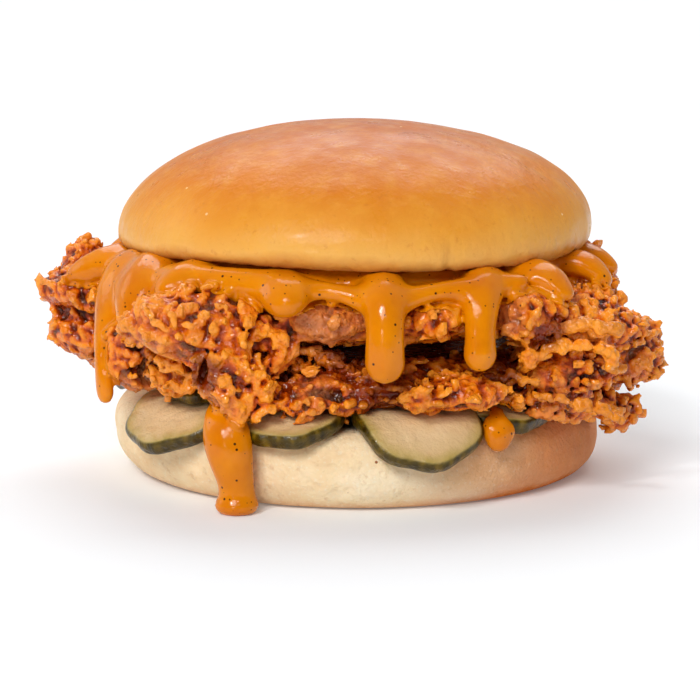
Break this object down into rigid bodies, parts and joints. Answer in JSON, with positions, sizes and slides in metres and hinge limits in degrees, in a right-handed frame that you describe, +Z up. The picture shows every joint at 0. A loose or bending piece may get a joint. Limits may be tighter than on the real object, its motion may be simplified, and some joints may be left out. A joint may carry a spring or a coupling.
{
  "type": "fried chicken burger",
  "caption": "Round glazed bun with pickle slices, craggy fried chicken wider than the bun, and thick orange sauce that runs down in drips.",
  "frame": {"origin": "middle of the flat base of the bun's heel, on the surface that the burger stands on", "axes": "+Z up through the bun, +X along the longer way of the chicken, -Y towards the viewer of the picture"},
  "size_m": [0.1455, 0.1278, 0.0803],
  "materials": {
    "pale_crumb": "soft pale bread crust dusted with flour",
    "glazed_crust": "egg-glazed golden bread crust with a satin sheen",
    "pickle": "wet translucent pickle flesh with a dark green skin",
    "fried_crust": "crisp craggy golden-brown crust with oily crests",
    "sauce": "glossy thick orange sauce with dark specks"
  },
  "bodies": {
    "root": {"bun_heel": "pale_crumb", "bun_crown": "glazed_crust", "pickle_front_right": "pickle", "pickle_front_left": "pickle", "pickle_front_middle": "pickle", "pickle_right": "pickle", "pickle_upper_left": "pickle", "pickle_back_left": "pickle", "pickle_back": "pickle", "pickle_back_right": "pickle", "chicken_upper": "fried_crust", "chicken_lower": "fried_crust", "sauce_over_chicken": "sauce", "sauce_drip_left": "sauce", "sauce_drip_right": "sauce"}
  },
  "joints": []
}
